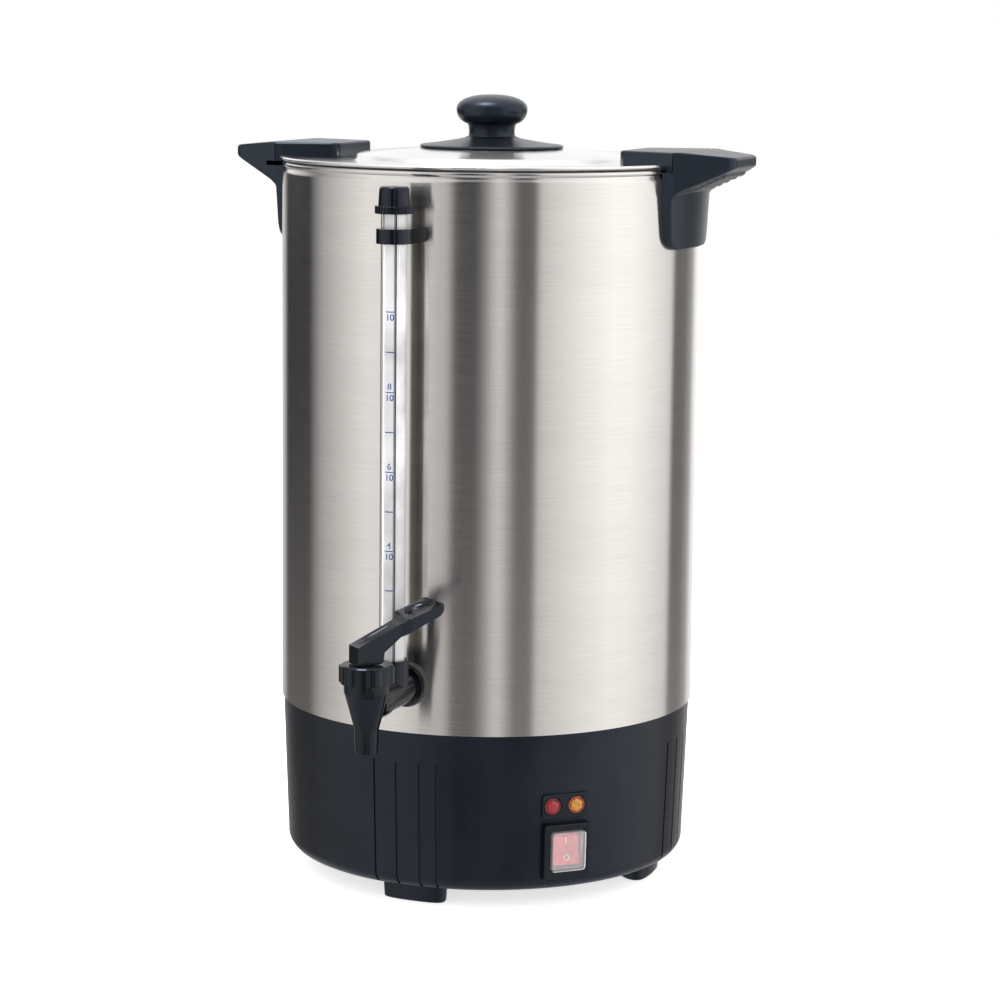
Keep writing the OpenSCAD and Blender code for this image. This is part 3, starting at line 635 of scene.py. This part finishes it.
def handle_section(y, shrink):
    """Closed section of a handle at a distance y from its middle, as (outward, height) points."""
    seam = math.sqrt(WING_R ** 2 - y * y)
    reach = max(wing_reach(y) - shrink, seam + 0.4)
    back = math.sqrt((SHELL_R + 0.05) ** 2 - y * y)
    root = math.sqrt(BLOCK_R ** 2 - y * y)
    bottom, slope = leg_bottom(y)
    bottom += shrink
    span = max(0.1, reach - seam)
    soft = min(2.4, span * 0.6)

    def top(x):
        return 10.3 - 0.092 * max(0.0, x - 147.5) - shrink

    def under(x):
        return -3.6 - 0.463 * (171 - x) + shrink

    points = [(seam, LEDGE), (seam, 9.9 - shrink), (seam + min(0.3, span * 0.1), top(seam))]
    points += [(seam + span * t, top(seam + span * t)) for t in (0.3, 0.5)]
    tip_top = top(reach) - 0.1
    rounding = ((1.0, 0.0), (0.6, 0.07), (0.28, 0.28), (0.07, 0.62), (0, 1))
    points += [(reach - soft * a, tip_top - 2.2 * b) for a, b in rounding]
    tip_low = min(under(reach) + 0.4, tip_top - 5.2)
    chin = min(3.2, span * 0.6)
    points += [(reach, tip_low + 1.6), (reach - 0.15 * chin, tip_low + 0.5)]
    points += [(reach - 0.5 * chin, tip_low - 0.35)]
    start = max(reach - 7, root + 1.4)
    fade = max(0.0, min(1.0, (27 - abs(y)) / 7))
    depth = 1.9 * fade * fade * (3 - 2 * fade)
    inner = root + 1.2 - shrink
    ridges = 5
    for i in range(ridges):
        for t, d in ((0.0, 0.0), (0.1, 0.75), (0.42, 1.0), (0.62, 0.85), (0.72, 0.1)):
            x = start + (inner - start) * (i + t) / ridges
            points.append((x, under(x) - depth * d))
    join = min(under(inner) - 2.6, -17.0)
    points += [(inner, under(inner)), (root - shrink + 0.25, (under(inner) + join) / 2)]
    rise = min(1.5 * math.sqrt(1 + slope * slope), (join - bottom) * 0.8)
    for t in (0.0, 0.35, 0.7, 1.0):
        z = join + (bottom + rise - join) * t
        points.append((math.sqrt(leg_radius(z) ** 2 - y * y) - shrink, z))
    outer = math.sqrt(leg_radius(bottom) ** 2 - y * y) - shrink
    points += [(outer - 1.5 * a, bottom + rise * b) for a, b in ((0.12, 0.5), (0.45, 0.12), (1.0, 0.0))]
    points += [(back, bottom), (back, -14.0), (back, LEDGE)]
    return points


def lug_pocket():
    """The slot that a lock lug of the lid turns into: a curved bar that breaks out at one side."""
    bm = bmesh.new()
    rings = []
    for k in range(13):
        a = math.radians(-8 + 32 * k / 12)
        rings.append([bm.verts.new((r * math.cos(a), r * math.sin(a), RIM + z))
                      for r, z in ((138.0, -5.2), (153.5, -5.2), (153.5, -2.2), (138.0, -2.2))])
    bridge(bm, rings)
    bm.faces.new(reversed(rings[0]))
    bm.faces.new(rings[-1])
    return bm


def handles():
    """The two moulded handles, lofted across their width with finger ridges underneath."""
    half = [0, 4, 8, 12, 16, 19, 20.2, 21.5, 22.8, 24, 25.2, 26.2, 27, 27.62, 29, 31, 33.5, 35.5, 37, 38.2,
            39.1, 39.6]
    turns = [math.radians(d) for d in (30, 60, 80)]
    ends = [(HANDLE_HW - 1 + math.sin(a), 1 - math.cos(a)) for a in turns]
    side = [(y, 0.0) for y in half] + ends
    stations = [(-y, s) for y, s in reversed(side[1:])] + side
    bm = bmesh.new()
    rings = [[bm.verts.new((x, y, z + RIM)) for x, z in handle_section(y, s)] for y, s in stations]
    bridge(bm, rings)
    bm.faces.new(reversed(rings[0]))
    bm.faces.new(rings[-1])
    bm = carve(bm, lug_pocket())
    piece("grip_left", copy_turned(bm, 180), "kettle", "black_phenolic", ["handle_left"])
    piece("grip_right", bm, "kettle", "black_phenolic", ["handle_right"])


# ---- base ----


def foot(side):
    """A foot pad with round corners, sloping outward to the base, screwed on through a recess."""
    top = high("foot_" + side).z
    corner_x, corner_y, corner_r = 15.9, -113.9, 6.0
    outline = (arc(0, -122.5, 24.3, 30, 150, 16) + arc(-corner_x, corner_y, corner_r, 180, 268, 8)
               + arc(0, 0, 121.4, 263.5, 276.5, 6) + arc(corner_x, corner_y, corner_r, 272, 360, 8))
    bm = stack(outline, [(1.3, 0.0), (0.5, 0.3), (0.1, 0.9), (0.0, 1.8), (-0.7, top)])
    recess = [(0, -1), (5, -1), (5, 5), (2.2, 5), (2.2, top + 1), (0, top + 1)]
    bm = carve(bm, lathe(recess, 32, centre=(0, -109)))
    spot = middle("foot_" + side)
    bm.transform(Matrix.Rotation(math.atan2(spot.x, -spot.y), 4, "Z"))
    piece("foot_" + side + "_pad", bm, "kettle", "base_plastic", ["foot_" + side])


def base():
    """The base housing with broken edges, on its four feet."""
    bm = break_edges(from_cad("base_housing"), 0.3)
    piece("housing", bm, "kettle", "base_plastic", ["base_housing"])
    for side in ("front", "right", "back", "left"):
        foot(side)


def on_panel(height):
    """Frame of the control panel: x to the side, y up, z out of the wall."""
    return (Matrix.Rotation(PANEL_AZ, 4, "Z") @ Matrix.Translation((0, -PANEL_OFF, height))
            @ Matrix.Rotation(PANEL_LEAN, 4, "X") @ Matrix.Rotation(math.radians(90), 4, "X"))


def rectangle(width, height, radius, steps=4):
    """A rectangle with round corners."""
    x = width / 2 - radius
    y = height / 2 - radius
    corners = ((x, y, 0), (-x, y, 90), (-x, -y, 180), (x, -y, 270))
    return [p for cx, cy, turn in corners for p in arc(cx, cy, radius, turn, turn + 90, steps)]


def frame_ring(outer, inner, levels, matrix):
    """A frame between two outlines. Levels hold (outer inset, inner inset, height)."""
    bm = bmesh.new()
    rings = [[bm.verts.new((*p, z)) for p in inset(outer, d)] for d, _, z in levels]
    rings += [[bm.verts.new((*p, z)) for p in inset(inner, -d)] for _, d, z in reversed(levels)]
    bridge(bm, rings, loop=True)
    bm.transform(matrix)
    return bm


def lamp_panel():
    """The thin plate round the two lamps, which sit in countersunk holes."""
    levels = [(0, -1.2), (0, 1.4), (0.2, 1.75), (0.6, LAMP_FACE)]
    bm = stack([(x + LAMP_X / 2, y) for x, y in rectangle(33, 16.5, 3)], levels)
    for x in (LAMP_X - LAMP_GAP, LAMP_X + LAMP_GAP):
        hole = lathe([(0, -3), (6.1, -3), (6.1, 1.5), (6.6, 2.0), (6.6, 3), (0, 3)], 48)
        hole.transform(Matrix.Translation((x, 0, 0)))
        bm = carve(bm, hole)
    bm.transform(on_panel(LAMP_Z))
    piece("lamp_plate", bm, "kettle", "base_plastic", ["lamp_panel"])


def lens(name, x, slot, node, edge):
    """A round jewel lens: a rim ring and a six-sided cut crown."""
    at = on_panel(LAMP_Z) @ Matrix.Translation((x, 0, 0))
    step = [(0, 0.95), (5.75, 0.95), (5.75, 1.7), (5.45, 2.0), (4.95, 2.0), (4.6, 1.6), (0, 1.55)]
    rim = lathe(step, 48)
    rim.transform(at)
    # the rim ring takes the darker copy of the lens colour, as painted shade round the crown
    piece(name + "_rim", rim, "kettle", slot, [node], material=edge)
    crown = stack(arc(0, 0, 4.5, 0, 300, 5), [(0, 1.5), (0.1, 2.1), (1.6, 2.9), (1.9, 3.0)])
    crown.transform(at @ Matrix.Rotation(math.radians(30), 4, "Z"))
    piece(name + "_crown", break_edges(crown, 0.12), "kettle", slot)


def switch():
    """Bezel, clear cover and rocker of the power switch."""
    at = on_panel(SWITCH_Z)
    levels = [(0, 0, -0.9), (0, 0, 3.3), (0.25, 0.2, 3.8), (0.8, 0.6, 4.0)]
    window = [(x, y + COVER_LIFT) for x, y in rectangle(24.5, 27.3, 2)]
    bezel = frame_ring(rectangle(33, 37.5, 2), window, levels, at)
    piece("switch_bezel", bezel, "kettle", "gloss_black", ["switch_frame"])
    cover = stack(rectangle(24, 26.8, 2.4), [(0, 0.7), (0, 6.0), (0.3, 6.8), (1.0, 7.2)])
    hollow = stack(rectangle(21.8, 24.6, 1.8), [(0, 0.0), (0, 5.6), (0.8, 6.3)])
    shell = carve(cover, hollow)
    shell.transform(at @ Matrix.Translation((0, COVER_LIFT, 0)))
    piece("splash_cover", shell, "kettle", "cover_clear", ["switch_cover"])
    rocker()


def rocker():
    """The rocker: two faces that meet in a shallow valley, with the I and O marks printed on them."""
    at = (on_panel(SWITCH_Z) @ Matrix.Translation((0, 0, -ROCKER_PIVOT))
          @ Matrix.Rotation(ROCKER_REST, 4, "X"))
    side = [(-9.5, -1.3), (9.5, -1.3), (9.5, 4.1), (5.5, 3.9), (0, 3.3), (-5.5, 3.9), (-9.5, 4.1)]
    levels = [(0.5, -9.0), (0.12, -8.8), (0, -8.4), (0, 8.4), (0.12, 8.8), (0.5, 9.0)]
    bm = stack(soften(side, 0.6, 2), levels)
    axes = Matrix(((0, 0, 1, 0), (1, 0, 0, 0), (0, 1, 0, 0), (0, 0, 0, 1)))
    bm.transform(at @ axes)
    piece("rocker_cap", bm, "rocker", "red_plastic", ["switch_rocker"])
    face = at @ Matrix.Translation((0, 6.2, 3.90)) @ Matrix.Rotation(math.radians(3.5), 4, "X")
    stroke = stack(rectangle(0.8, 4.2, 0.2), [(0, -0.1), (0, 0.08)], face)
    piece("mark_on", stroke, "rocker", "red_plastic", material="print_white")
    face = at @ Matrix.Translation((0, -4.8, 3.84)) @ Matrix.Rotation(math.radians(-3.5), 4, "X")
    circle = arc(0, 0, 2.2, 0, 345, 23)
    loop = frame_ring(circle, arc(0, 0, 1.5, 0, 345, 23), [(0, 0, -0.1), (0, 0, 0.08)], face)
    piece("mark_off", loop, "rocker", "red_plastic", material="print_white")


# ---- sight gauge ----


def gauge_cap():
    """The tube cap: knurled ring under a tapered cap with a vent hole."""
    bm = bmesh.new()
    teeth = 34
    knurl_r = 12.25
    knurl_tall = 4.8
    bore_r = TUBE_R + 0.06
    cuts = (0.75, 0.2, 0.12, 0.2)
    rings = []
    for inward, z in ((0.35, 0.0), (0.0, 0.4), (0.0, knurl_tall - 0.4), (0.35, knurl_tall)):
        ring = []
        for k in range(teeth * 4):
            a = 2 * math.pi * k / (teeth * 4)
            r = knurl_r - inward - cuts[k % 4]
            ring.append(bm.verts.new((r * math.cos(a), r * math.sin(a), z)))
        rings.append(ring)
    for z in (knurl_tall, 0.0):
        flat = [v.co.xy.normalized() * bore_r for v in rings[0]]
        rings.append([bm.verts.new((*p, z)) for p in flat])
    bridge(bm, rings, loop=True)
    bm.transform(Matrix.Translation((0, TUBE_Y, CAP_TOP - 17)))
    piece("cap_knurl", bm, "kettle", "gloss_black")
    profile = [(1.2, -8), (8.2, -8), (8.2, -12.2), (9.95, -12.2), (9.95, -11.6), (9.35, -1.9), (9.1, -1.0),
               (8.5, -0.4), (7.6, -0.1), (6.6, 0.0), (1.8, 0.0), (1.3, -0.3), (1.2, -0.8)]
    piece("cap_cone", lathe(profile, 72, (0, TUBE_Y), CAP_TOP), "kettle", "gloss_black", ["gauge_cap"])


def gauge_clip():
    """The strap that holds the tube to the wall."""
    piece("tube_clip", break_edges(from_cad("gauge_clip"), 0.4), "kettle", "gloss_black", ["gauge_clip"])


def gauge_tube():
    """The clear tube, with walls thick enough to bend the light at its sides."""
    low_z = low("gauge_tube").z
    high_z = high("gauge_tube").z
    edge = 0.3
    profile = [(TUBE_BORE, low_z + edge), (TUBE_BORE + edge, low_z),
               (TUBE_R - edge, low_z), (TUBE_R, low_z + edge),
               (TUBE_R, high_z - edge), (TUBE_R - edge, high_z),
               (TUBE_BORE + edge, high_z), (TUBE_BORE, high_z - edge)]
    piece("tube", lathe(profile, 96, (0, TUBE_Y)), "kettle", "gauge_clear", ["gauge_tube"])


def close_strip(bm, rows):
    """Skins four rows of vertices, which run along the four edges of a thin strip."""
    columns = len(rows[0]) - 1
    for a, b in zip(rows, rows[1:] + rows[:1]):
        for k in range(columns):
            bm.faces.new((a[k], a[k + 1], b[k + 1], b[k]))
    for k in (0, columns):
        bm.faces.new([row[k] for row in rows])


def on_tube(bm):
    """Wraps a flat drawing, x to the side and z up, round the front of the gauge tube."""
    for v in bm.verts:
        a = (v.co.x + MARK_SHIFT) / TUBE_R
        r = TUBE_R + FILM + v.co.y
        v.co = Vector((r * math.sin(a), TUBE_Y - r * math.cos(a), v.co.z))
    return bm


def bar(width, height, z):
    """A printed bar as a thin curved patch."""
    bm = bmesh.new()
    columns = 6
    rows = []
    for thick, dz in ((0.0, -height / 2), (PRINT, -height / 2), (PRINT, height / 2), (0.0, height / 2)):
        xs = [width * (k / columns - 0.5) for k in range(columns + 1)]
        rows.append([bm.verts.new((x, thick, z + dz)) for x in xs])
    close_strip(bm, rows)
    return bm


def number(text, size, z):
    """A printed number as a thin curved patch, its middle at height z."""
    curve = bpy.data.curves.new("number", "FONT")
    curve.body = text
    curve.size = size
    curve.align_x = "CENTER"
    curve.align_y = "CENTER"
    curve.extrude = PRINT
    curve.offset = 0.1
    letters = bpy.data.objects.new("number", curve)
    bpy.context.scene.collection.objects.link(letters)
    bpy.context.view_layer.update()
    bm = bmesh.new()
    shape = letters.evaluated_get(bpy.context.evaluated_depsgraph_get())
    bm.from_mesh(shape.to_mesh())
    shape.to_mesh_clear()
    bpy.data.objects.remove(letters)
    bpy.data.curves.remove(curve)
    bm.transform(Matrix.Translation((0, 0, z)) @ Matrix.Rotation(math.radians(90), 4, "X"))
    for v in bm.verts:
        v.co.y = PRINT if v.co.y < 0 else 0.0
    return bm


def stripe(name, start, end, material):
    """A thin coloured stripe down the whole tube between two azimuths in degrees."""
    low_z = low("gauge_tube").z + 0.6
    high_z = high("gauge_tube").z - 0.6
    bm = bmesh.new()
    columns = 8
    rows = []
    angles = [math.radians(start + (end - start) * k / columns) for k in range(columns + 1)]
    for r, z in ((TUBE_R, low_z), (TUBE_R + FILM, low_z), (TUBE_R + FILM, high_z), (TUBE_R, high_z)):
        rows.append([bm.verts.new((r * math.sin(a), TUBE_Y - r * math.cos(a), z)) for a in angles])
    close_strip(bm, rows)
    piece(name, bm, "kettle", "gauge_clear", material=material)


def tube_stripes():
    """Stripes round the tube: a pale scale band; a dark grey line and a white stripe, painted shade and
    painted highlight where a clear tube shows them; and a grey-brown band at the back, a painted
    reflection of the warm wall seen through the tube.
    """
    stripe("scale_band", -22, 24, "scale_film")
    # painted shade: a thin dark grey line beside the painted highlight
    stripe("painted_shade_line", 25, 29, "painted_shade_grey")
    # painted highlight: a white stripe down the right side of the tube
    stripe("painted_highlight_stripe", 37, 134, "painted_highlight_white")
    # painted reflection: a grey-brown band round the back of the tube
    stripe("painted_reflection_band", 136, 247, "painted_reflection_band")


def mark(tenths, part, bm):
    """One printed mark on the tube."""
    name = "mark_%d_%s" % (tenths, part)
    piece(name, on_tube(bm), "kettle", "gauge_clear", material="print_blue")


def gauge_marks():
    """The scale printed on the tube: a bar for three to ten tenths, with numbers at the even ones."""
    lowest = WALL_LOW + 98.9
    step = 25.2
    size = 5.6
    for tenths in range(3, 11):
        z = lowest + step * (tenths - 3)
        mark(tenths, "bar", bar(5.4, 0.7, z))
        if tenths % 2:
            continue
        if tenths < 10:
            mark(tenths, "top", number(str(tenths), size, z + 3.4))
        mark(tenths, "low", number("10", size, z - 3.6))


# ---- spigot ----


def spigot():
    """Tee, faucet, collar and lever."""
    pieces = (("spigot_shank", "tee", 0.5), ("faucet_body", "faucet", 0.4), ("bonnet", "collar", 0.6))
    for node, name, width in pieces:
        piece(name, break_edges(from_cad(node), width), "kettle", "gloss_black", [node])
    lever()


def dimple(at, lean, along, across, deep):
    """A long round cutter on the lever, which leans by so many degrees.
    at is (distance along the lever, height over the pin)."""
    bm = bmesh.new()
    bmesh.ops.create_uvsphere(bm, u_segments=40, v_segments=24, radius=1.0)
    place_at = Matrix.Translation((0, FAUCET_Y, PIN_Z)) @ Matrix.Rotation(LEVER_TURN, 4, "Z")
    tilt = Matrix.Translation((at[0], 0, at[1])) @ Matrix.Rotation(math.radians(-lean), 4, "Y")
    bm.transform(place_at @ tilt @ Matrix.Diagonal((along, across, deep, 1)))
    return bm


def lever():
    """The lever, with a thumb recess in its paddle and a channel down its neck."""
    bm = break_edges(from_cad("lever"), 0.8, segments=3)
    bm = carve(bm, dimple((36.8, 27.6), 19.3, 10.6, 10.4, 4.2))
    bm = carve(bm, dimple((6.0, 13.2), 23.7, 14.0, 4.0, 2.0))
    piece("thumb_lever", bm, "lever", "gloss_black", ["lever"])


# ---- stage ----


def studio_world():
    """Soft studio: light and dark screens round the kettle for reflections, plain white elsewhere.
    Stops are (degrees from the camera toward the right, brightness)."""
    screens = [(-180, 0.55), (-160, 0.62), (-149, 0.02), (-117, 0.01), (-113, 0.16), (-105, 0.43),
               (-81, 0.82), (-70, 1.0), (-50, 0.94), (-38, 0.76), (-23, 0.52), (-19, 0.04), (-8, 0.02),
               (-5, 0.12), (-1, 0.36), (2, 0.62), (6, 0.76), (14, 0.14), (16, 0.09), (24, 0.10),
               (27, 0.68), (36, 0.85), (51, 1.09), (71, 1.32), (85, 1.27), (101, 1.06), (118, 0.82),
               (122, 0.12), (136, 0.15), (147, 0.38), (157, 1.0), (180, 1.0)]
    black = (0, 0, 0)
    full = (1, 1, 1)
    world = bpy.data.worlds.new("studio")
    world.use_nodes = True
    tree = world.node_tree
    tree.nodes.clear()
    ray = add(tree, "ShaderNodeTexCoord").outputs["Generated"]
    x, y, z = add(tree, "ShaderNodeSeparateXYZ", {"Vector": ray}).outputs
    turn = calc(tree, "ARCTAN2", x, calc(tree, "MULTIPLY", y, -1.0))
    shifted = calc(tree, "SUBTRACT", turn, math.radians(CAMERA_AZ))
    part = calc(tree, "FRACT", calc(tree, "ADD", calc(tree, "DIVIDE", shifted, 2 * math.pi), 0.5))
    stops = [((a + 180) / 360, (b, b * 0.985, b * 0.97 + 0.006)) for a, b in screens]
    bands = ramp(tree, part, stops)
    behind = ramp(tree, part, [(0.0, full), (0.1, full), (0.2, black), (0.8, black), (0.9, full)])
    rising = calc(tree, "MULTIPLY", step_up(tree, z, 0.02, 0.09), behind)
    bands = mix(tree, rising, bands, (1.02, 1.02, 1.03, 1))
    down = calc(tree, "MULTIPLY", z, -1.0)
    falling = calc(tree, "MULTIPLY", step_up(tree, down, 0.1, 0.32), 0.5)
    bands = mix(tree, falling, bands, (0.42, 0.40, 0.38, 1))
    bands = mix(tree, step_up(tree, down, 0.35, 0.6), bands, (0.55, 0.55, 0.57, 1))
    dome = mix(tree, step_up(tree, z, 0.5, 0.85), bands, (1.15, 1.16, 1.18, 1))
    kind = add(tree, "ShaderNodeLightPath")
    seen = add(tree, "ShaderNodeBackground", {"Color": dome, "Strength": 1.0})
    soft = add(tree, "ShaderNodeBackground", {"Color": (1.0, 1.0, 1.0, 1), "Strength": 1.15})
    white = add(tree, "ShaderNodeBackground", {"Color": (1.0, 1.0, 1.0, 1), "Strength": 1.0})
    first = add(tree, "ShaderNodeMixShader", {
        "Fac": kind.outputs["Is Diffuse Ray"], 1: seen.outputs[0], 2: soft.outputs[0]})
    last = add(tree, "ShaderNodeMixShader", {
        "Fac": kind.outputs["Is Camera Ray"], 1: first.outputs[0], 2: white.outputs[0]})
    out = add(tree, "ShaderNodeOutputWorld")
    tree.links.new(last.outputs[0], out.inputs["Surface"])
    bpy.context.scene.world = world


def step_up(tree, value, start, end):
    """A smooth step from 0 to 1 between two values."""
    node = add(tree, "ShaderNodeMapRange", {"Value": value, "From Min": start, "From Max": end},
               interpolation_type="SMOOTHSTEP")
    return node.outputs["Result"]


def mix(tree, factor, a, b):
    """Blends two colours."""
    node = add(tree, "ShaderNodeMixRGB", {"Fac": factor, "Color1": a, "Color2": b})
    return node.outputs["Color"]


def area_light(name, power, size, place_at, aim_at, glossy):
    """A soft square lamp that points at a place."""
    data = bpy.data.lights.new(name, "AREA")
    data.energy = power
    data.shape = "SQUARE"
    data.size = size
    lamp = bpy.data.objects.new(name, data)
    bpy.context.scene.collection.objects.link(lamp)
    lamp.location = place_at
    lamp.rotation_euler = (Vector(aim_at) - Vector(place_at)).to_track_quat("-Z", "Y").to_euler()
    lamp.visible_glossy = glossy


def floor():
    """A plain pale floor, left out of reflections so that the steel shows the studio's screens."""
    bm = bmesh.new()
    bmesh.ops.create_circle(bm, cap_ends=True, segments=96, radius=6.0)
    bm.transform(Matrix.Translation((0, 0, -0.0002)))
    ground = piece_object("studio_floor", bm)
    material, tree, shader = principled(
        "floor_paint", Roughness=0.7, Emission_Color=(1, 1, 1, 1), Emission_Strength=0.68)
    cloud = noise(tree, place(tree), 3.0, 2.0)
    paint = ramp(tree, cloud, [(0.3, (0.93, 0.93, 0.93)), (0.7, (0.95, 0.95, 0.95))])
    tree.links.new(paint, shader.inputs["Base Color"])
    ground.data.materials.append(material)
    ground.visible_glossy = False


def camera():
    """The photograph's view: a long lens a little above the kettle."""
    data = bpy.data.cameras.new("view")
    data.lens = CAMERA_LENS
    data.sensor_width = 36
    item = bpy.data.objects.new("view", data)
    bpy.context.scene.collection.objects.link(item)
    az = math.radians(CAMERA_AZ)
    pan = Matrix.Rotation(math.radians(CAMERA_AZ - CAMERA_PAN), 4, "Z")
    dip = Matrix.Rotation(math.radians(90 - CAMERA_DIP), 4, "X")
    roll = Matrix.Rotation(math.radians(CAMERA_ROLL), 4, "Z")
    stand = Matrix.Translation((CAMERA_FAR * math.sin(az), -CAMERA_FAR * math.cos(az), CAMERA_HIGH))
    item.matrix_world = stand @ (pan @ dip @ roll)
    bpy.context.scene.camera = item


def finish_cad_nodes():
    """Every CAD node that still shows gets the material of its slot."""
    for part in frame["record"]["subparts"]:
        node = frame["nodes"][part["node"]]
        node.data.materials.clear()
        node.data.materials.append(MATERIALS[part["material_slot"]])


def build():
    """Makes the kettle."""
    finish_cad_nodes()
    tank()
    weld_seam()
    lid()
    knob()
    knob_plate()
    lid_blocks()
    handles()
    base()
    lamp_panel()
    lens("power", LAMP_X - LAMP_GAP, "red_lens", "power_lens", "red_lens_shaded")
    lens("ready", LAMP_X + LAMP_GAP, "amber_lens", "ready_lens", "amber_lens_shaded")
    switch()
    gauge_cap()
    gauge_clip()
    gauge_tube()
    tube_stripes()
    gauge_marks()
    spigot()


def light():
    """Lights, floor, camera and the colour handling."""
    studio_world()
    area_light("overhead", 26.0, 0.9, (-0.3, -0.5, 2.3), (0, 0, 0.2), True)
    area_light("right", 6.0, 1.2, (1.8, -1.2, 1.0), (0, 0, 0.25), False)
    floor()
    camera()
    bpy.context.scene.view_settings.view_transform = "Standard"


build()
light()
